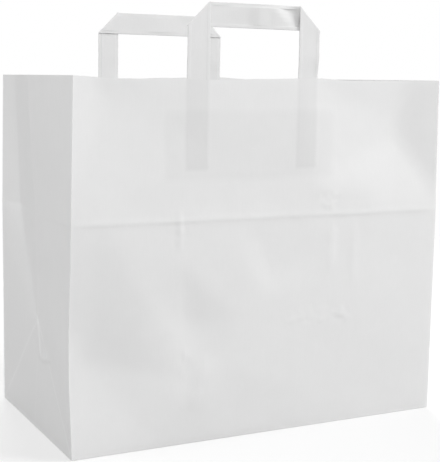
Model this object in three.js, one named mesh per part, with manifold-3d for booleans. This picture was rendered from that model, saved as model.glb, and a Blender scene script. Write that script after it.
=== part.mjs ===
// White paper carrier bag: a gusseted sack with a folded block bottom, and two flat paper handles.
// Each handle is a strip folded square at its corners, glued inside the rim under a paper patch.
// Millimetres, +Z up. The origin is the middle of the base, and the front panel faces -Y.
import * as THREE from "three";
import { mergeVertices } from "three/addons/utils/BufferGeometryUtils.js";
import Module from "manifold-3d";

const wasm = await Module();
wasm.setup();

// Driving dimensions
const bag = { width: 320, depth: 174, height: 276 };
const paper = 0.13; // gauge of the bleached kraft sheet
const glueGap = 0.1; // between faces that are glued together
const packingCrease = { height: 171, depth: 0.8, halfWidth: 6 }; // a ridge in front, a groove behind
const stiffEdge = 12; // beside a corner fold, where creases and dents die out
const lowerBelly = 1.5; // how far the panels swell below the packing crease
const frontDents = [
  { x: -118, z: 98, along: 78, across: 36, turn: 58, depth: 5 }, // lower left, running down to the right
  { x: 134, z: 228, along: 62, across: 30, turn: 62, depth: 2.5 }, // upper right corner
];
const mouthTaper = 1.8; // how far the corner folds lean in at the rim
const gussetTip = 2.5; // how far the tip of the bottom triangle stands in
const leftGusset = { buckle: 6, buckleAt: 43.5 }; // a soft valley in its rear half
const rightGusset = { buckle: 4, buckleAt: 29 };
const seamLap = { left: 112, right: 128 }; // where the tube's edges overlap, on the back panel
const baseFlap = { overlap: 20 }; // how far the two base flaps reach past the middle
const strip = { width: 18, thickness: 0.6 }; // folded handle strip
const handle = { rise: 55, tail: 67, offset: -15 }; // tail: length glued below the rim
const handleSpans = { front: 112, back: 118 }; // over the outer edges of the legs
const patch = { margin: 18, top: 22, bottom: 76, ramp: 3 }; // top and bottom are depths below the rim

// Derived sizes
const halfWidth = bag.width / 2;
const halfDepth = bag.depth / 2;
const tipHeight = halfDepth; // the bottom triangle's sides run at 45 degrees
const baseLayers = 3;
const panelColumns = 20;
const gussetColumns = 12;

// The heights of the wall's rows, with one on each fold.
const rowHeights = [
  ...evenly(0, tipHeight, gussetColumns / 2),
  ...evenly(tipHeight, packingCrease.height - packingCrease.halfWidth, 4),
  packingCrease.height - packingCrease.halfWidth,
  packingCrease.height,
  ...evenly(packingCrease.height + packingCrease.halfWidth, bag.height, 5),
  bag.height,
];
const rowSteps = rowHeights.length - 1;

// Values from low up to high in that many equal steps, without the last.
function evenly(low, high, steps) {
  return Array.from({ length: steps }, (_, i) => low + ((high - low) * i) / steps);
}

const clamp01 = (v) => THREE.MathUtils.clamp(v, 0, 1);

// Solids and booleans

function solidOf(geometry) {
  const bare = geometry.clone();
  bare.deleteAttribute("normal");
  bare.deleteAttribute("uv");
  const merged = mergeVertices(bare, 1e-4);
  const vertProperties = new Float32Array(merged.attributes.position.array);
  const triVerts = new Uint32Array(merged.index.array);
  return new wasm.Manifold(new wasm.Mesh({ numProp: 3, vertProperties, triVerts }));
}

function geometryOf(solid) {
  const { vertProperties, triVerts } = solid.getMesh();
  const geometry = new THREE.BufferGeometry();
  geometry.setAttribute("position", new THREE.BufferAttribute(vertProperties, 3));
  geometry.setIndex(new THREE.BufferAttribute(triVerts, 1));
  const facets = geometry.toNonIndexed();
  facets.computeVertexNormals();
  return facets;
}

// An outline of [x, y] corners, extruded along +Z from bottom to top.
function prism(corners, bottom, top) {
  const outline = new THREE.Shape(corners.map(([x, y]) => new THREE.Vector2(x, y)));
  const geometry = new THREE.ExtrudeGeometry(outline, { depth: top - bottom, bevelEnabled: false });
  return geometry.translate(0, 0, bottom);
}

// An outline of [x, z] corners, facing -Y at front and as thick as given towards +Y.
function plate(corners, front, thickness) {
  return prism(corners, -thickness, 0).rotateX(Math.PI / 2).translate(0, front, 0);
}

// Folds of the walls, as distances that a wall stands in from the plain box

// The crease left by folding the flat bag backwards for packing.
function packingFold(z, facing) {
  const across = clamp01(1 - Math.abs(z - packingCrease.height) / packingCrease.halfWidth);
  return facing * packingCrease.depth * across;
}

// A soft oval dent, its long axis turned down from +X by turn degrees.
function dentInset(dent, x, z) {
  const turn = THREE.MathUtils.degToRad(dent.turn);
  const along = ((x - dent.x) * Math.cos(turn) - (z - dent.z) * Math.sin(turn)) / dent.along;
  const across = ((x - dent.x) * Math.sin(turn) + (z - dent.z) * Math.cos(turn)) / dent.across;
  return dent.depth * clamp01(1 - along * along - across * across) ** 2;
}

// facing is -1 on the front panel and 1 on the back panel.
function panelInset(x, z, facing) {
  const bellyHeight = packingCrease.height - packingCrease.halfWidth;
  const belly = z < bellyHeight ? Math.sin((Math.PI * z) / bellyHeight) : 0;
  const swell = lowerBelly * belly * Math.cos((Math.PI * x) / bag.width);
  const dents = facing < 0 ? frontDents : [];
  const pressed = dents.reduce((sum, dent) => sum + dentInset(dent, x, z), packingFold(z, facing));
  return pressed * clamp01((halfWidth - Math.abs(x)) / stiffEdge) - swell;
}

// The bottom triangle with its tip on the centre fold, which comes out to the rim,
// and a buckle in the rear half, with its valley running up from the tip.
function gussetInset(y, z, gusset) {
  const sideways = Math.abs(y) / halfDepth;
  const aboveTip = clamp01((z - tipHeight) / (bag.height - tipHeight));
  const fold = gussetTip * (1 - aboveTip) * Math.min(1 - sideways, z / tipHeight);
  const grown = clamp01((z - tipHeight) / (packingCrease.height - tipHeight));
  const valley = Math.max(gusset.buckleAt * grown, paper);
  const buckle = y < valley ? clamp01(y / valley) : (halfDepth - y) / (halfDepth - valley);
  const aboveCrease = clamp01((z - packingCrease.height) / (bag.height - packingCrease.height));
  const lean = mouthTaper * aboveCrease * sideways;
  const crease = packingFold(z, Math.sign(y)) * clamp01((halfDepth - Math.abs(y)) / stiffEdge) * sideways;
  return fold + gusset.buckle * grown * buckle + lean + crease;
}

// The bag's box with its walls pushed in to their folds, thinner by wall on each side,
// standing on floor and reaching over the rim by above.
function foldedBox(wall, floor, above) {
  const box = new THREE.BoxGeometry(bag.width, bag.depth, 1, panelColumns, gussetColumns, rowSteps + 1);
  const place = box.attributes.position;
  for (let i = 0; i < place.count; i++) {
    const x = place.getX(i);
    const y = place.getY(i);
    const row = Math.round((place.getZ(i) + 0.5) * (rowSteps + 1));
    const z = rowHeights[Math.min(row, rowSteps)];
    const onGusset = Math.abs(x) > halfWidth - paper;
    const onPanel = Math.abs(y) > halfDepth - paper;
    const gusset = x < 0 ? leftGusset : rightGusset;
    const insetX = onGusset ? gussetInset(y, z, gusset) + wall : 0;
    const insetY = onPanel ? panelInset(x, z, Math.sign(y)) + wall : 0;
    const lift = row > rowSteps ? above : Math.max(floor - z, 0);
    place.setXYZ(i, x - Math.sign(x) * insetX, y - Math.sign(y) * insetY, z + lift);
  }
  return box;
}

// Sub-parts

// The overlap where the sheet was glued into a tube: a second layer on the back panel.
function lapStrip() {
  const width = seamLap.right - seamLap.left;
  const rooted = 2; // how far it reaches into the box that the bag is hollowed from
  const lap = new THREE.BoxGeometry(width, paper + rooted, 1, 1, 1, rowSteps + 1);
  lap.translate((seamLap.left + seamLap.right) / 2, halfDepth + (paper - rooted) / 2, 0.5);
  const place = lap.attributes.position;
  for (let i = 0; i < place.count; i++) {
    const row = Math.round(place.getZ(i) * (rowSteps + 1));
    const z = rowHeights[Math.min(row, rowSteps)];
    const y = place.getY(i) - panelInset(place.getX(i), z, 1);
    const clearOfBase = row === 0 ? baseLayers * paper : 0;
    place.setXYZ(i, place.getX(i), y, z + clearOfBase + (row > rowSteps ? bag.depth / 10 : 0));
  }
  return lap;
}

// A base flap's outline: as wide as the bag at one long side, with its sides folded in at 45 degrees.
function baseFlapOutline(side) {
  const free = halfWidth - (halfDepth + baseFlap.overlap);
  const corners = [
    [-halfWidth, side * halfDepth],
    [halfWidth, side * halfDepth],
    [free, -side * baseFlap.overlap],
    [-free, -side * baseFlap.overlap],
  ];
  return side < 0 ? corners : corners.reverse();
}

// The underside steps up a sheet at a time: front flap, rear flap, then the tucked-in ends.
function baseRecesses() {
  const margin = 5;
  const under = new THREE.BoxGeometry(bag.width + 2 * margin, bag.depth + 2 * margin, margin);
  const below = (layers) => solidOf(under.clone().translate(0, 0, layers * paper - margin / 2));
  const frontFlap = solidOf(prism(baseFlapOutline(-1), -2 * margin, margin));
  const rearFlap = solidOf(prism(baseFlapOutline(1), -2 * margin, margin));
  const besideFront = below(1).subtract(frontFlap);
  const besideBoth = below(2).subtract(frontFlap).subtract(rearFlap);
  return besideFront.add(besideBoth);
}

function bagBody() {
  const overRim = 20;
  const outside = solidOf(foldedBox(0, 0, overRim)).add(solidOf(lapStrip()));
  const inside = solidOf(foldedBox(paper, baseLayers * paper, 2 * overRim));
  const aboveRim = new THREE.BoxGeometry(2 * bag.width, 2 * bag.depth, bag.height);
  aboveRim.translate(0, 0, 1.5 * bag.height);
  return geometryOf(outside.subtract(inside).subtract(solidOf(aboveRim)).subtract(baseRecesses()));
}

// A handle on the front panel: two legs, and the top folded back behind them at each corner.
function handleStrip(span) {
  const outer = span / 2;
  const inner = outer - strip.width;
  const top = bag.height + handle.rise;
  const bend = top - strip.width;
  const end = bag.height - handle.tail;
  const face = legFace();
  const leg = (side) => {
    const corners = [
      [side * outer, end],
      [side * inner, end],
      [side * inner, top],
      [side * outer, bend],
    ];
    return solidOf(plate(side < 0 ? corners : corners.reverse(), face, strip.thickness));
  };
  const bridge = [
    [-outer, bend],
    [outer, bend],
    [inner, top],
    [-inner, top],
  ];
  const pressed = strip.thickness * 0.95; // the two layers meet with no gap
  const across = solidOf(plate(bridge, face + pressed, strip.thickness));
  return geometryOf(leg(-1).add(leg(1)).add(across)).translate(handle.offset, 0, 0);
}

// Where the legs' outer faces lie, just inside the front panel.
function legFace() {
  return -halfDepth + paper + glueGap;
}

// A handle's patch on the front panel: flat on the panel, and stepped over both legs.
function handlePatch(span) {
  const base = legFace();
  const step = strip.thickness + glueGap;
  const outer = span / 2 + glueGap;
  const inner = span / 2 - strip.width - glueGap;
  const half = span / 2 + patch.margin;
  const face = [
    [-half, 0],
    [-outer - patch.ramp, 0],
    [-outer, step],
    [-inner, step],
    [-inner + patch.ramp, 0],
    [inner - patch.ramp, 0],
    [inner, step],
    [outer, step],
    [outer + patch.ramp, 0],
    [half, 0],
  ];
  const panelSide = face.map(([x, y]) => [x, base + y]);
  const bagSide = face.map(([x, y]) => [x, base + y + paper]).reverse();
  const outline = [...panelSide, ...bagSide];
  const sheet = prism(outline, bag.height - patch.bottom, bag.height - patch.top);
  return sheet.translate(handle.offset, 0, 0);
}

// Assembly

const paperWhite = (color) => new THREE.MeshStandardMaterial({ color, roughness: 0.75, metalness: 0 });
const bagPaper = paperWhite(0xe6e6e6);
const handlePaper = paperWhite(0xe2e2e2);
const patchPaper = paperWhite(0xe0e0e0);

function piece(name, geometry, material) {
  const mesh = new THREE.Mesh(geometry, material);
  mesh.name = name;
  return mesh;
}

// A piece that was made for the front panel, mirrored along Y to the back panel.
function mirroredToBack(mesh) {
  mesh.scale.y = -1;
  return mesh;
}

const carrierBag = new THREE.Group();
carrierBag.name = "paper_carrier_bag";
carrierBag.add(
  piece("bag_body", bagBody(), bagPaper),
  piece("front_handle", handleStrip(handleSpans.front), handlePaper),
  piece("front_handle_patch", handlePatch(handleSpans.front), patchPaper),
  mirroredToBack(piece("back_handle", handleStrip(handleSpans.back), handlePaper)),
  mirroredToBack(piece("back_handle_patch", handlePatch(handleSpans.back), patchPaper)),
);

export default carrierBag;
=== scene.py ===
import bpy
import bmesh
import math
from mathutils import Matrix, Vector, noise


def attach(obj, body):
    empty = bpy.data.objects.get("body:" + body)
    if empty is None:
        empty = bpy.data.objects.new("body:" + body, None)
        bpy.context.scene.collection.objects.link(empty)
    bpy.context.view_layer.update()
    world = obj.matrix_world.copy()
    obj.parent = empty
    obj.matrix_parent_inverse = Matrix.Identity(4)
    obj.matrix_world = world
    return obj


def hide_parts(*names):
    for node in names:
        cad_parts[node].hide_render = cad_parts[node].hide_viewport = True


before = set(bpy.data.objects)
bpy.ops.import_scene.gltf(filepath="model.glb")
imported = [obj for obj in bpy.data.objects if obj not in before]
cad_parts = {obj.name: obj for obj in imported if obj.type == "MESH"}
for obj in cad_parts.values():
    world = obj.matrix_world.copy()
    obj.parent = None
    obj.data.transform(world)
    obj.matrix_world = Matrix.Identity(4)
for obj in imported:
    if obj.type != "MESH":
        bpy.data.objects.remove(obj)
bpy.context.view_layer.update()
print("frame:", sorted(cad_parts))

mm = 0.001  # shapes are worked out in millimetres and scaled at the end
facetFlat, facetEased = 0.65, 0.35  # the shares of a dent's straight and of its rounded form


# small helpers for the folds

def clamp01(value):
    return max(0.0, min(1.0, value))


def ease(value):
    value = clamp01(value)
    return value * value * (3 - 2 * value)


def between(points, at):  # eased line through (place, value) points
    if at <= points[0][0]:
        return points[0][1]
    for (a, low), (b, high) in zip(points, points[1:]):
        if at <= b:
            return low + (high - low) * ease((at - a) / (b - a))
    return points[-1][1]


def creaseOut(crease, u, v):  # a straight crease: a tent that stands out, or in where out is negative
    (u0, v0), (u1, v1) = crease["ends"]
    du, dv = u1 - u0, v1 - v0
    length = math.hypot(du, dv)
    along = ((u - u0) * du + (v - v0) * dv) / length
    across = ((u - u0) * dv - (v - v0) * du) / length
    left, right = crease["sides"]
    tent = clamp01(1 + across / left) if across < 0 else clamp01(1 - across / right)
    fade = crease.get("fade", length / 3)
    return crease["out"] * tent * ease(along / fade) * ease((length - along) / fade)


def fanOut(facet, u, v):  # flat facets from a middle point out to a rim
    mu, mv = facet["middle"]
    rim = facet["rim"]
    for (au, av), (bu, bv) in zip(rim, rim[1:] + rim[:1]):
        turn = (au - mu) * (bv - mv) - (bu - mu) * (av - mv)
        toA = ((u - mu) * (bv - mv) - (bu - mu) * (v - mv)) / turn
        toB = ((au - mu) * (v - mv) - (u - mu) * (av - mv)) / turn
        if toA >= 0 and toB >= 0:
            near = clamp01(1 - toA - toB)
            return facet["out"] * (facetFlat * near + facetEased * ease(near))
    return 0.0


def facetOut(facet, u, v):  # the same, with the folds between the facets rounded
    soft = facet["soft"]
    around = ((soft, 0), (-soft, 0), (0, soft), (0, -soft))
    return sum(fanOut(facet, u + du, v + dv) for du, dv in around) / len(around)


def cockle(x, y, z, size):  # slow unevenness of the sheet, from -1 to 1
    return noise.noise(Vector((x, y, z)) / size)


def pieceFrom(bm, name, finish, node):
    mesh = bpy.data.meshes.new(name)
    bm.to_mesh(mesh)
    bm.free()
    mesh.polygons.foreach_set("use_smooth", [True] * len(mesh.polygons))
    mesh.materials.append(finish)
    piece = bpy.data.objects.new(name, mesh)
    bpy.context.scene.collection.objects.link(piece)
    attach(piece, "root")
    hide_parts(node)
    return piece


def thicken(piece, thickness, offset, rounded=0):
    solid = piece.modifiers.new("thickness", "SOLIDIFY")
    solid.thickness = thickness * mm
    solid.offset = offset
    solid.use_even_offset = True
    if rounded:  # the long edges of a folded strip are round
        solid.bevel_convex = 1.0
        edge = piece.modifiers.new("roundEdge", "BEVEL")
        edge.limit_method = "WEIGHT"
        edge.width = rounded * mm
        edge.segments = 2
        edge.profile = 0.5
    even = piece.modifiers.new("evenShade", "WEIGHTED_NORMAL")
    even.keep_sharp = True


# paper finishes

class Wire:  # a socket that can stand in a sum
    def __init__(self, tree, socket=None):
        self.tree = tree
        self.socket = socket

    def node(self, kind, settings=None, sockets=None, out=0):
        made = self.tree.nodes.new(kind)
        for name, value in (settings or {}).items():
            setattr(made, name, value)
        for name, value in (sockets or {}).items():
            self.feed(made.inputs[name], value)
        return Wire(self.tree, made.outputs[out] if made.outputs else None)

    def feed(self, slot, value):
        if isinstance(value, Wire):
            self.tree.links.new(value.socket, slot)
        else:
            slot.default_value = value

    def maths(self, operation, a, b):
        return self.node("ShaderNodeMath", {"operation": operation}, {0: a, 1: b})

    def __add__(self, other):
        return self.maths("ADD", self, other)

    def __sub__(self, other):
        return self.maths("SUBTRACT", self, other)

    def __mul__(self, other):
        return self.maths("MULTIPLY", self, other)

    def __truediv__(self, other):
        return self.maths("DIVIDE", self, other)

    def __radd__(self, other):
        return self.maths("ADD", other, self)

    def __rsub__(self, other):
        return self.maths("SUBTRACT", other, self)

    def __rmul__(self, other):
        return self.maths("MULTIPLY", other, self)

    def within01(self):
        return self.node("ShaderNodeClamp", {}, {"Value": self})


def newFinish(name):
    finish = bpy.data.materials.new(name)
    finish.use_nodes = True
    finish.node_tree.nodes.clear()
    return finish, Wire(finish.node_tree)


kraft = {  # what the bag, strip and patch papers share
    "grainScale": 2400.0, "cloudScale": 85.0, "fibreScale": 900.0, "fibreDraw": (1.0, 1.0, 0.12),
    "dark": (0.7, 0.7, 0.7, 1), "light": (0.93, 0.93, 0.93, 1),
    "roughCloud": 0.12, "roughGrain": 0.08, "bumpDepth": 0.0002, "specular": 0.3,
}


def paperFinish(name, look):
    finish, wire = newFinish(name)
    place = wire.node("ShaderNodeTexCoord", out="Object")
    drawn = wire.node("ShaderNodeMapping", {}, {"Vector": place, "Scale": kraft["fibreDraw"]})
    layers = ((place, "grainScale", 3.0), (place, "cloudScale", 4.0), (drawn, "fibreScale", 4.0))
    grain, cloud, fibre = (
        wire.node("ShaderNodeTexNoise", {}, {"Vector": at, "Scale": kraft[scale], "Detail": detail})
        for at, scale, detail in layers)
    tone = look["tone"] + look["cloud"] * (cloud - 0.5)
    tone = tone + look["grain"] * (grain - 0.5) + look["fibre"] * (fibre - 0.5)
    # paler along the folds, and a painted highlight on the lit upper side of the packing crease
    if look.get("paleAndHighlight"):
        paleAndHighlight = wire.node("ShaderNodeAttribute", {"attribute_name": "foldPaleAndHighlight"}, out="Fac")
        tone = tone + look["paleAndHighlight"] * paleAndHighlight
    # painted shade where the legs and patch behind the sheet block light coming through it
    if look.get("shows"):
        behind = wire.node("ShaderNodeAttribute", {"attribute_name": "shadeThroughSheet"}, out="Fac")
        tone = tone - look["shows"] * behind
    colour = wire.node("ShaderNodeMix", {"data_type": "RGBA"}, {
        0: tone.within01(), 6: kraft["dark"], 7: kraft["light"]}, out=2)
    rough = look["rough"] + kraft["roughCloud"] * (cloud - 0.5) + kraft["roughGrain"] * (grain - 0.5)
    relief = grain * 0.5 + fibre * 0.5
    bump = wire.node("ShaderNodeBump", {}, {
        "Height": relief, "Strength": look["bump"], "Distance": kraft["bumpDepth"]})
    paper = wire.node("ShaderNodeBsdfPrincipled", {}, {
        "Base Color": colour, "Roughness": rough, "Normal": bump, "Specular IOR Level": kraft["specular"]})
    wire.node("ShaderNodeOutputMaterial", {}, {"Surface": paper})
    return finish


bagLook = {"tone": 0.5, "cloud": 0.1, "grain": 0.1, "fibre": 0.1,
           "paleAndHighlight": 0.14, "shows": 0.24, "rough": 0.66, "bump": 0.12}
# the strip is the bag's paper; its lower tone is painted shade
shadedStripLook = {"tone": 0.37, "cloud": 0.1, "grain": 0.12, "fibre": 0.12,
             "paleAndHighlight": 0.2, "rough": 0.64, "bump": 0.14}
patchLook = {"tone": 0.42, "cloud": 0.1, "grain": 0.12, "fibre": 0.12, "rough": 0.7, "bump": 0.14}
bagPaper = paperFinish("bagPaper", bagLook)
shadedStripPaper = paperFinish("shadedStripPaper", shadedStripLook)
patchPaper = paperFinish("patchPaper", patchLook)
print("paper finishes ready")


# the sack

bag = {
    "width": 320, "depth": 174, "height": 276, "paper": 0.13,
    "panelColumns": 100, "gussetColumns": 58, "rows": 92,  # about 3 mm each, with some on the folds
    "foldRadius": 0.8, "mouthTaper": 1.8, "stiffEdge": 12, "cornerFollow": 20, "rimReach": 51,
    "panelCalm": 30, "gussetCalm": 20, "patchCalm": 0.7,  # where the folds and the patch hold the sheet flat
    "rim": [(-160, 0.3), (-125, -1.3), (-45, -1.3), (-10, 0), (40, 1.3), (75, 0), (120, 0.5), (160, 1.2)],
}
seam = {"edge": 112, "end": 140}  # the glued lap on the back panel
baseOverlap = 20  # how far the front flap of the bottom reaches past the middle
fineStep = {"leg": 1.3, "crease": 1.4, "fold": 0.8, "lap": 0.2}  # extra lines beside folds and laps
pressed = {"legs": 0.16, "patch": 0.1, "legShade": 0.85, "patchShade": 0.4, "patchSoft": 3}  # through the panel, and painted shade where the legs and patch behind block light coming through the sheet
paleBands = {  # how much paler the folds are painted, and how wide; above the packing crease the band is a painted highlight
    "packing": 0.5, "packingHighlightAbove": 2, "packingHighlightReach": 3, "centre": 0.4, "centreReach": 2,
    "diagonal": 1.6, "diagonalReach": 1.4, "base": 0.8,
}
packing = {"height": 171, "out": 0.42, "below": 3, "above": 11,
           "drift": 0.5, "driftPlace": 40, "driftSize": 60}
strip = {"width": 18, "thickness": 0.6, "rise": 55, "tail": 67, "offset": -15,
         "foldRadius": 0.36, "hem": 0.16, "edge": 0.2, "legSteps": 34, "topSteps": 56, "turn": 30}
spans = {"front": 112, "back": 118}
patch = {"margin": 18, "top": 22, "bottom": 76, "ramp": 3, "columns": 100, "rows": 14}
glueGap = 0.1
frontFacets = [
    {"middle": (-148, 70), "out": -7.2, "soft": 4,
     "rim": [(-200, 168), (-138, 169), (-103, 119), (-60, 46), (-92, 6), (-140, 0), (-200, 10)]},
    {"middle": (-65, 89), "out": -3.3, "soft": 4,
     "rim": [(-106, 120), (-74, 140), (-28, 98), (-38, 60), (-62, 30), (-108, 60)]},
    {"middle": (120, 236), "out": -8.4, "soft": 6,
     "rim": [(20, 290), (100, 400), (163, 420), (163, 178), (118, 176), (40, 196)]},
    {"middle": (-135, 262), "out": -4.0, "soft": 5,
     "rim": [(-163, 310), (-52, 300), (-52, 226), (-104, 182), (-163, 178)]},
]
frontCreases = [
    {"ends": ((-16, 170), (12, 108)), "out": -1.0, "sides": (46, 15)},
    {"ends": ((58, 169), (57, 118)), "out": 0.65, "sides": (6, 9)},
    {"ends": ((79, 168), (80, 104)), "out": 0.55, "sides": (4, 7)},
    {"ends": ((-76, 182), (-75, 146)), "out": 0.5, "sides": (3, 4)},
    {"ends": ((-52, 70), (-66, 22)), "out": 1.0, "sides": (18, 8)},
    {"ends": ((-44, 60), (60, 20)), "out": 0.9, "sides": (40, 30), "fade": 40},
    {"ends": ((14, 86), (36, 91)), "out": 0.22, "sides": (4, 3), "fade": 5},
    {"ends": ((34, 91), (54, 84)), "out": 0.24, "sides": (4, 3), "fade": 5},
    {"ends": ((52, 84), (64, 94)), "out": 0.2, "sides": (3, 4), "fade": 4},
    {"ends": ((60, 92), (80, 84)), "out": 0.2, "sides": (4, 3), "fade": 5},
]
belly = {"out": 1.8, "top": 160, "low": 0.6, "from": 100, "over": 160}  # the lower panel swells, most at left
crinkle = {"size": 5.5, "place": 300, "fade": 1.5, "gain": 2}
crinkles = [  # small crushed spots: middle, half size, depth
    {"middle": (47, 90), "half": (38, 12), "out": 0.13},
    {"middle": (56, 182), "half": (14, 10), "out": 0.3},
    {"middle": (-72, 162), "half": (11, 9), "out": 0.16},
    {"middle": (-70, 64), "half": (10, 12), "out": 0.45},
    {"middle": (70, 90), "half": (10, 14), "out": 0.16},
]
backFacets = [
    {"middle": (92, 76), "out": -3.0, "soft": 5,
     "rim": [(40, 150), (140, 160), (156, 90), (120, 14), (60, 24)]},
    {"middle": (-108, 226), "out": -2.0, "soft": 5,
     "rim": [(-150, 268), (-98, 272), (-96, 196), (-140, 182)]},
]
gussets = {
    -1: {"buckle": 7.6, "buckleAt": 60.0, "skew": 5.0, "stand": 3.0},
    1: {"buckle": 4.0, "buckleAt": 29.0, "skew": 0.0, "stand": 0.0},
}
gussetTip = 3.2
buckleFlat, buckleEased, buckleLoss = 0.7, 0.3, 0.45  # its form, and how much of it is lost up to the mouth
panelWaves = [(0.7, 50, 70), (0.25, 90, 26)]  # height, place in the noise, size
gussetWaves = [(0.6, 50, 50), (0.25, 90, 22)]
gussetCreases = [
    {"ends": ((-8, 56), (-38, 62)), "out": 0.7, "sides": (2.5, 6), "fade": 6},
    {"ends": ((2, 90), (-9, 54)), "out": 0.8, "sides": (3, 3), "fade": 6},
]
fineSpots = [  # windows that hold the small creases
    {"low": (8, -90, 74), "high": (92, -80, 106)},
    {"low": (42, -90, 160), "high": (92, -80, 198)},
    {"low": (-92, -90, 140), "high": (-58, -80, 186)},
    {"low": (-170, -46, 44), "high": (-150, 16, 96)},
]
halfWidth = bag["width"] / 2
halfDepth = bag["depth"] / 2
tipHeight = halfDepth
tiny = 0.01


def overLegs(x, z, span):  # 1 where a handle's leg lies behind the panel
    nearest = abs(abs(x - strip["offset"]) - (span - strip["width"]) / 2)
    beside = clamp01((strip["width"] / 2 + fineStep["leg"] - nearest) / (2 * fineStep["leg"]))
    return beside * ease((z - bag["height"] + strip["tail"] + 1) / 2)


def overPatch(x, z, span):
    soft = pressed["patchSoft"]
    beside = clamp01((span / 2 + patch["margin"] - abs(x - strip["offset"])) / soft)
    low = clamp01((z - bag["height"] + patch["bottom"]) / soft)
    return beside * low * clamp01((bag["height"] - patch["top"] - z) / soft)


def packingOut(z, x):
    drift = packing["drift"] * cockle(x, packing["driftPlace"], 0, packing["driftSize"])
    over = z - packing["height"] - drift
    reach = packing["above"] if over > 0 else packing["below"]
    return packing["out"] * clamp01(1 - abs(over) / reach)


def panelOut(x, z, facing):  # how far a panel stands out, facing -1 in front and 1 behind
    toEdge = halfWidth - abs(x)
    stiff = clamp01(toEdge / bag["stiffEdge"])
    out = -facing * packingOut(z, x) * stiff
    if z < belly["top"]:
        rise = math.sin(math.pi * clamp01(z / belly["top"]) ** belly["low"])
        swell = rise * math.cos(math.pi * x / bag["width"])
        out += belly["out"] * swell * clamp01((belly["from"] - x) / belly["over"])
    facets, creases = (frontFacets, frontCreases) if facing < 0 else (backFacets, [])
    for facet in facets:
        out += facetOut(facet, x, z)
    for crease in creases:
        out += creaseOut(crease, x, z)
    if facing < 0:
        for spot in crinkles:
            du = (x - spot["middle"][0]) / spot["half"][0]
            dv = (z - spot["middle"][1]) / spot["half"][1]
            crushed = spot["out"] * ease(crinkle["fade"] * (1 - math.hypot(du, dv)))
            out += crushed * cockle(x, crinkle["place"], z, crinkle["size"]) * crinkle["gain"]
    held = overPatch(x, z, spans["front"])
    slow = sum(high * cockle(x, facing * at, z, size) for high, at, size in panelWaves)
    calm = bag["panelCalm"]
    return out + slow * ease(toEdge / calm) * ease(z / calm) * (1 - bag["patchCalm"] * held)


def legRelief(x, z, facing):
    span = spans["front"] if facing < 0 else spans["back"]
    return pressed["legs"] * overLegs(x, z, span) + pressed["patch"] * overPatch(x, z, span)


def gussetIn(y, z, side):
    gusset = gussets[side]
    sideways = abs(y) / halfDepth
    aboveTip = clamp01((z - tipHeight) / (bag["height"] - tipHeight))
    fold = gussetTip * (1 - aboveTip) * min(1 - sideways, z / tipHeight)
    grown = clamp01((z - tipHeight) / (packing["height"] - tipHeight))
    valley = max(gusset["buckleAt"] * grown, bag["paper"])
    buckle = clamp01(y / valley) if y < valley else (halfDepth - y) / (halfDepth - valley)
    aboveCrease = clamp01((z - packing["height"]) / (bag["height"] - packing["height"]))
    lean = bag["mouthTaper"] * aboveCrease * sideways
    rounded = buckleFlat * buckle + buckleEased * ease(buckle)
    inward = fold + gusset["buckle"] * grown * rounded * (1 - buckleLoss * aboveCrease) + lean
    inward -= gusset["stand"] * aboveCrease * (1 - sideways)
    stiff = clamp01((halfDepth - abs(y)) / bag["stiffEdge"])
    inward += math.copysign(packingOut(z, y), y) * stiff * sideways
    for crease in gussetCreases:
        inward -= creaseOut(crease, y, z)
    slow = sum(high * cockle(side * at, y, z, size) for high, at, size in gussetWaves)
    calm = bag["gussetCalm"]
    return inward + slow * ease((halfDepth - abs(y)) / calm) * ease(z / calm)


def baseStep(x, y):  # the underside rises a sheet at a time beside the front and the rear flap
    inFront = min(baseOverlap - y, halfWidth - abs(x) - halfDepth - y)
    inRear = halfWidth - abs(x) - halfDepth + y
    return 0.0 if inFront > 0 else bag["paper"] if inRear > 0 else 2 * bag["paper"]


def facesToward(bm, direction, below=None):
    faces = [f for f in bm.faces if f.normal.dot(Vector(direction)) > 0.9]
    return [f for f in faces if below is None or f.calc_center_median().z < below]


def cutLine(bm, faces, at, across):  # an extra line of edges over some faces
    geom = list({e for f in faces for e in f.edges}) + list({v for f in faces for v in f.verts}) + faces
    bmesh.ops.bisect_plane(bm, geom=geom, dist=1e-4, plane_co=at, plane_no=across)


def refine(bm, window):  # a finer net where the sheet is crushed
    low, high = window["low"], window["high"]
    faces = [f for f in bm.faces if all(a < c < b for a, c, b in zip(low, f.calc_center_median(), high))]
    edges = list({e for f in faces for e in f.edges})
    bmesh.ops.subdivide_edges(bm, edges=edges, cuts=1, use_grid_fill=True)


def addFineLines(bm):  # more edges where the sheet is folded, lapped or pressed over something
    front, back, left, right, under = (0, -1, 0), (0, 1, 0), (-1, 0, 0), (1, 0, 0), (0, 0, -1)
    for direction, span in ((front, spans["front"]), (back, spans["back"])):
        for leg in (-1, 1):
            for edge in (span / 2, span / 2 - strip["width"]):
                for step in (-fineStep["leg"], fineStep["leg"]):
                    at = strip["offset"] + leg * edge + step
                    cutLine(bm, facesToward(bm, direction), (at, 0, 0), (1, 0, 0))
    for direction in (front, back, left, right):
        for step in (-fineStep["crease"], fineStep["crease"]):
            cutLine(bm, facesToward(bm, direction), (0, 0, packing["height"] + step), (0, 0, 1))
    for direction in (left, right):
        for step in (-fineStep["fold"], fineStep["fold"]):
            cutLine(bm, facesToward(bm, direction), (0, step, 0), (0, 1, 0))
        for slope in (-1, 1):
            for step in (-fineStep["fold"], 0, fineStep["fold"]):
                cutLine(bm, facesToward(bm, direction, tipHeight), (0, 0, tipHeight + step), (0, slope, 1))
    for step in (-fineStep["lap"], fineStep["lap"]):
        cutLine(bm, facesToward(bm, back), (seam["edge"] + step, 0, 0), (1, 0, 0))
        cutLine(bm, facesToward(bm, under), (0, baseOverlap + step, 0), (0, 1, 0))
        for slope in (-1, 1):
            at = (slope * (halfWidth - halfDepth + step), 0, 0)
            cutLine(bm, facesToward(bm, under), at, (slope, 1, 0))
            cutLine(bm, facesToward(bm, under), at, (slope, -1, 0))


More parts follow.
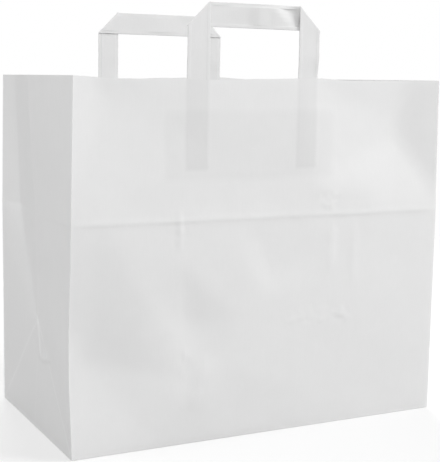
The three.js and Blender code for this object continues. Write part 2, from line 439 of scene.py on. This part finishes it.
def findCornerFolds(bm):  # the four upright corners and the edges round the base
    folds = []
    for edge in bm.edges:
        ends = [vert.co for vert in edge.verts]
        onGusset = all(abs(end.x) > halfWidth - tiny for end in ends)
        onPanel = all(abs(end.y) > halfDepth - tiny for end in ends)
        onFloor = all(end.z < tiny for end in ends)
        if (onGusset and onPanel) or (onFloor and (onGusset or onPanel)):
            folds.append(edge)
    return folds


def shapePoint(vert, paleAndHighlight, shows):  # moves a point of the plain box and marks it
    x, y, z = vert.co
    onGusset, onPanel = abs(x) > halfWidth - tiny, abs(y) > halfDepth - tiny
    side, facing = int(math.copysign(1, x)), int(math.copysign(1, y))
    if onGusset and onPanel:
        # the corner folds are painted paler
        vert[paleAndHighlight] = 1.0
    if onPanel:
        vert.co.y += facing * (panelOut(x, z, facing) + legRelief(x, z, facing))
        span = spans["front"] if facing < 0 else spans["back"]
        # painted shade over the legs and patch that lie behind the panel
        vert[shows] = pressed["legShade"] * overLegs(x, z, span)
        vert[shows] += pressed["patchShade"] * overPatch(x, z, span)
        # painted highlight: a pale band on the lit upper side of the packing crease
        offPacking = abs(z - packing["height"] - paleBands["packingHighlightAbove"])
        vert[paleAndHighlight] = max(vert[paleAndHighlight], paleBands["packing"] * clamp01(1 - offPacking / paleBands["packingHighlightReach"]))
        if facing > 0 and seam["edge"] < x < seam["end"]:
            vert.co.y += bag["paper"] * (seam["end"] - x) / (seam["end"] - seam["edge"])
    if onGusset:
        vert.co.x -= side * gussetIn(y, z, side)
        aboveCrease = clamp01((z - packing["height"]) / (bag["height"] - packing["height"]))
        vert.co.y += gussets[side]["skew"] * aboveCrease * (1 - abs(y) / halfDepth)
        if not onPanel:  # the sheet follows where a corner fold is pushed back
            follow = clamp01((abs(y) - bag["cornerFollow"]) / (halfDepth - bag["cornerFollow"]))
            vert.co.y += facing * panelOut(side * halfWidth, z, facing) * follow
        offDiagonal = abs(tipHeight - z - abs(y))
        onDiagonal = clamp01(1 - offDiagonal / paleBands["diagonalReach"]) if z < tipHeight else 0
        onCentre = clamp01(1 - abs(y) / paleBands["centreReach"])
        vert[paleAndHighlight] = max(vert[paleAndHighlight], paleBands["centre"] * onCentre, paleBands["diagonal"] * onDiagonal)
    if z < tiny:
        vert[paleAndHighlight] = max(vert[paleAndHighlight], paleBands["base"] if onGusset or onPanel else 0)
        if not (onGusset or onPanel):
            vert.co.z = baseStep(x, y)
    vert.co.z += between(bag["rim"], x) * ease((z - bag["height"] + bag["rimReach"]) / bag["rimReach"])


def makeSack():
    bm = bmesh.new()
    walls = [  # columns, width, middle, turn about Z
        (bag["panelColumns"], bag["width"], (0, -halfDepth), 0),
        (bag["gussetColumns"], bag["depth"], (halfWidth, 0), 90),
        (bag["panelColumns"], bag["width"], (0, halfDepth), 180),
        (bag["gussetColumns"], bag["depth"], (-halfWidth, 0), -90),
    ]
    upright = Matrix.Rotation(math.pi / 2, 4, "X")
    for columns, width, (x, y), turn in walls:
        middle = Matrix.Translation((x, y, bag["height"] / 2))
        place = middle @ Matrix.Rotation(math.radians(turn), 4, "Z") @ upright
        bmesh.ops.create_grid(bm, x_segments=columns, y_segments=bag["rows"], size=0.5,
                              matrix=place @ Matrix.Diagonal((width, bag["height"], 1, 1)))
    under = Matrix.Rotation(math.pi, 4, "X") @ Matrix.Diagonal((bag["width"], bag["depth"], 1, 1))
    bmesh.ops.create_grid(bm, x_segments=bag["panelColumns"], y_segments=bag["gussetColumns"], size=0.5,
                          matrix=under)
    bmesh.ops.remove_doubles(bm, verts=bm.verts, dist=tiny)
    bm.normal_update()
    addFineLines(bm)
    for window in fineSpots:
        refine(bm, window)
    paleAndHighlight = bm.verts.layers.float.new("foldPaleAndHighlight")
    shows = bm.verts.layers.float.new("shadeThroughSheet")
    cornerFolds = findCornerFolds(bm)
    for vert in bm.verts:
        shapePoint(vert, paleAndHighlight, shows)
    bmesh.ops.bevel(bm, geom=cornerFolds, offset=bag["foldRadius"], offset_type="OFFSET", segments=2,
                    profile=0.5, affect="EDGES", clamp_overlap=True, material=-1)
    bmesh.ops.scale(bm, vec=(mm, mm, mm), verts=bm.verts)
    sack = pieceFrom(bm, "bagSack", bagPaper, "bag_body")
    thicken(sack, bag["paper"], -1)
    return sack


# the handles and their patches, made for the front panel and mirrored for the back

handleWaves = {  # how the top strip waves behind the legs, its ends bow back and its top leans out
    "front": {"line": [(-38, 0), (-20, 0.3), (-8, 0.5), (3, -0.5), (14, 0), (28, 0.6), (44, 0)],
              "bow": (0.4, 1.8), "lean": 1.7},
    "back": {"line": [(-59, 0), (-30, -0.6), (0, 0.5), (28, -0.4), (59, 0)],
             "bow": (0.3, 0.3), "lean": 0.4},
}
sway = {  # how near a corner fold the waves, bow and lean begin, and how the legs flutter above the mouth
    "waveFade": 12, "bowFade": 7, "bowEnd": 26, "bowEndFade": 18, "leanStart": 8, "leanFade": 22,
    "flutter": 0.35, "flutterPlace": 10, "flutterSize": 16, "flutterFade": 10, "pressedFade": 20,
}
acrossStrip = [0, 0.03, 0.12, 0.15, 0.33, 0.5, 0.67, 0.85, 0.88, 0.97, 1]
hemShare = 0.12  # of the strip's width, on either side


def stripRow(station, hem):  # points across the strip, with a folded hem standing proud along both sides
    outer, inner = Vector(station[0]), Vector(station[1])
    row = [outer.lerp(inner, t) for t in acrossStrip]
    for t, point in zip(acrossStrip, row):
        if t <= hemShare or t >= 1 - hemShare:
            point.y -= hem
    return row


def makeHandle(where, facing):
    span, width, radius = spans[where], strip["width"], strip["foldRadius"]
    outer, inner = span / 2, span / 2 - strip["width"]
    top = bag["height"] + strip["rise"]
    bend = top - width
    end = bag["height"] - strip["tail"]
    face = -halfDepth + bag["paper"] + glueGap + strip["thickness"] / 2
    slant = math.sqrt(0.5) * radius
    turn = strip["turn"]
    levels = [end + (bend - end) * i / strip["legSteps"] for i in range(strip["legSteps"] + 1)]
    runs = [-0.5 + i / strip["topSteps"] for i in range(strip["topSteps"] + 1)]

    def onLeg(side, z):
        return (side * outer, face, z), (side * inner, face, z + width * ease((z - bend + turn) / turn))

    def onFold(side):
        y = face + radius
        return (side * (outer + slant), y, bend + slant), (side * (inner + slant), y, top + slant)

    def onTop(run):
        return (2 * outer * run, face + 2 * radius, bend), (2 * inner * run, face + 2 * radius, top)

    stations = [onLeg(-1, z) for z in levels] + [onFold(-1)] + [onTop(run) for run in runs]
    stations += [onFold(1)] + [onLeg(1, z) for z in reversed(levels)]
    bm = bmesh.new()
    row = [bm.verts.new(point) for point in stripRow(stations[0], strip["hem"])]
    edges = [bm.edges.new(pair) for pair in zip(row, row[1:])]
    for station in stations[1:]:
        grown = bmesh.ops.extrude_edge_only(bm, edges=edges)["geom"]
        edges = [e for e in grown if isinstance(e, bmesh.types.BMEdge)]
        new = {v for v in grown if isinstance(v, bmesh.types.BMVert)}
        row = [[e.other_vert(v) for e in v.link_edges if e.other_vert(v) in new][0] for v in row]
        for vert, place in zip(row, stripRow(station, strip["hem"])):
            vert.co = place
    paleAndHighlight = bm.verts.layers.float.new("foldPaleAndHighlight")
    waves = handleWaves[where]
    for vert in bm.verts:
        x, y, z = vert.co
        low = ease((bag["height"] + sway["pressedFade"] - z) / sway["pressedFade"])
        vert.co.y -= panelOut(x + strip["offset"], min(z, bag["height"]), facing) * low
        behind = clamp01((y - face - radius) / radius)
        toFold = outer - (z - bend) - abs(x)
        bow = waves["bow"][1 if x > 0 else 0] * ease(toFold / sway["bowFade"])
        bow *= ease((sway["bowEnd"] - toFold) / sway["bowEndFade"])
        vert.co.y += behind * (between(waves["line"], x) * ease(toFold / sway["waveFade"]) + bow)
        leaning = ease((toFold - sway["leanStart"]) / sway["leanFade"])
        vert.co.y -= behind * waves["lean"] * (z - bend) / width * leaning
        free = ease((z - bag["height"]) / sway["flutterFade"])
        uneven = cockle(x, sway["flutterPlace"] * facing, z, sway["flutterSize"])
        vert.co.y += sway["flutter"] * uneven * free * (1 - behind)
        # the strip's corner fold is painted paler
        vert[paleAndHighlight] = 1.0 if face + 0.5 * radius < y < face + 1.5 * radius else 0.0
    bmesh.ops.translate(bm, vec=(strip["offset"], 0, 0), verts=bm.verts)
    if facing > 0:
        bmesh.ops.scale(bm, vec=(1, -1, 1), verts=bm.verts)
    bmesh.ops.recalc_face_normals(bm, faces=bm.faces)
    bmesh.ops.scale(bm, vec=(mm, mm, mm), verts=bm.verts)
    handle = pieceFrom(bm, where + "HandleStrip", shadedStripPaper, where + "_handle")
    thicken(handle, strip["thickness"], 0, strip["edge"])


def makePatch(where, facing):
    span = spans[where]
    width, height = span + 2 * patch["margin"], patch["bottom"] - patch["top"]
    middle = bag["height"] - (patch["bottom"] + patch["top"]) / 2
    face = -halfDepth + bag["paper"] + glueGap
    upright = Matrix.Translation((strip["offset"], face, middle)) @ Matrix.Rotation(math.pi / 2, 4, "X")
    bm = bmesh.new()
    bmesh.ops.create_grid(bm, x_segments=patch["columns"], y_segments=patch["rows"], size=0.5,
                          matrix=upright @ Matrix.Diagonal((width, height, 1, 1)))
    for vert in bm.verts:
        x, z = vert.co.x, vert.co.z
        beyond = abs(abs(x - strip["offset"]) - (span - strip["width"]) / 2) - strip["width"] / 2
        over = (strip["thickness"] + glueGap) * (1 - ease(beyond / patch["ramp"]))
        vert.co.y += over + bag["paper"] - panelOut(x, z, facing)
    if facing > 0:
        bmesh.ops.scale(bm, vec=(1, -1, 1), verts=bm.verts)
    else:  # so that both patches face into the bag
        bmesh.ops.reverse_faces(bm, faces=bm.faces)
    bmesh.ops.scale(bm, vec=(mm, mm, mm), verts=bm.verts)
    sheet = pieceFrom(bm, where + "Patch", patchPaper, where + "_handle_patch")
    thicken(sheet, bag["paper"], -1)


sack = makeSack()
print("sack:", len(sack.data.vertices), "points")
for where, facing in (("front", -1), ("back", 1)):
    makeHandle(where, facing)
    makePatch(where, facing)
print("handles and patches on")


# floor, light and camera

stage = {"floorSize": 12, "floorGap": 0.0002, "floorColour": (0.48, 0.48, 0.48, 1),
         "lift": 0.46, "clearFrom": 0.55, "clearTo": 1.1, "fill": 0.4}
lampAim = (0, 0, 0.14)
lamps = [
    {"name": "rightSoftbox", "at": (2.59, -1.38, 2.05), "size": 1.6, "power": 73},
    {"name": "frontSoftbox", "at": (-1.26, -2.82, 1.78), "size": 1.4, "power": 35},
    {"name": "leftFill", "at": (-3.15, 0.33, 1.62), "size": 1.6, "power": 26},
    {"name": "backSoftbox", "at": (0.98, 2.69, 2.15), "size": 1.6, "power": 65},
]
shot = {"at": (-0.4091, -0.8001, 0.2740), "yaw": -27.21, "down": 7.932, "roll": 0.958,
        "lens": 83.887, "sensor": 36, "near": 0.01}


def seenDirectly(wire):  # 1 for the camera and what shows in gloss or glass, 0 for light on the bag
    camera, gloss, glass = (
        wire.node("ShaderNodeLightPath", out=ray)
        for ray in ("Is Camera Ray", "Is Glossy Ray", "Is Transmission Ray"))
    return (camera + gloss + glass).within01()


def makeFloor():
    bm = bmesh.new()
    bmesh.ops.create_grid(bm, x_segments=1, y_segments=1, size=stage["floorSize"] / 2,
                          matrix=Matrix.Translation((0, 0, -stage["floorGap"])))
    mesh = bpy.data.meshes.new("floor")
    bm.to_mesh(mesh)
    bm.free()
    floor = bpy.data.objects.new("floor", mesh)
    bpy.context.scene.collection.objects.link(floor)
    finish, wire = newFinish("floorWhite")
    seen = seenDirectly(wire)
    place = wire.node("ShaderNodeTexCoord", out="Object")
    away = wire.node("ShaderNodeVectorMath", {"operation": "LENGTH"}, {0: place}, out="Value")
    clear = ((away - stage["clearFrom"]) / (stage["clearTo"] - stage["clearFrom"])).within01()
    matt = wire.node("ShaderNodeBsdfDiffuse", {}, {"Color": stage["floorColour"]})
    lift = wire.node("ShaderNodeEmission", {}, {"Color": (1, 1, 1, 1), "Strength": seen * stage["lift"]})
    near = wire.node("ShaderNodeAddShader", {}, {0: matt, 1: lift})
    white = wire.node("ShaderNodeEmission", {}, {"Color": (1, 1, 1, 1), "Strength": 1.0})
    surface = wire.node("ShaderNodeMixShader", {}, {0: seen * clear, 1: near, 2: white})
    wire.node("ShaderNodeOutputMaterial", {}, {"Surface": surface})
    mesh.materials.append(finish)


def makeSky():
    sky = bpy.data.worlds.new("studio")
    sky.use_nodes = True
    sky.node_tree.nodes.clear()
    wire = Wire(sky.node_tree)
    strength = stage["fill"] + seenDirectly(wire) * (1 - stage["fill"])
    glow = wire.node("ShaderNodeBackground", {}, {"Color": (1, 1, 1, 1), "Strength": strength})
    wire.node("ShaderNodeOutputWorld", {}, {"Surface": glow})
    bpy.context.scene.world = sky


def makeLamps():
    for lamp in lamps:
        light = bpy.data.lights.new(lamp["name"], "AREA")
        light.energy = lamp["power"]
        light.size = lamp["size"]
        holder = bpy.data.objects.new(lamp["name"], light)
        holder.location = lamp["at"]
        aim = Vector(lampAim) - Vector(lamp["at"])
        holder.rotation_euler = aim.to_track_quat("-Z", "Y").to_euler()
        bpy.context.scene.collection.objects.link(holder)


def makeCamera():
    lens = bpy.data.cameras.new("shot")
    lens.lens = shot["lens"]
    lens.sensor_width = shot["sensor"]
    lens.clip_start = shot["near"]
    camera = bpy.data.objects.new("shot", lens)
    camera.matrix_world = (Matrix.Translation(shot["at"])
                           @ Matrix.Rotation(math.radians(shot["yaw"]), 4, "Z")
                           @ Matrix.Rotation(math.radians(90 - shot["down"]), 4, "X")
                           @ Matrix.Rotation(math.radians(shot["roll"]), 4, "Z"))
    bpy.context.scene.collection.objects.link(camera)
    bpy.context.scene.camera = camera


makeFloor()
makeSky()
makeLamps()
makeCamera()
bpy.context.scene.view_settings.view_transform = "Standard"
print("stage, lamps and camera set")
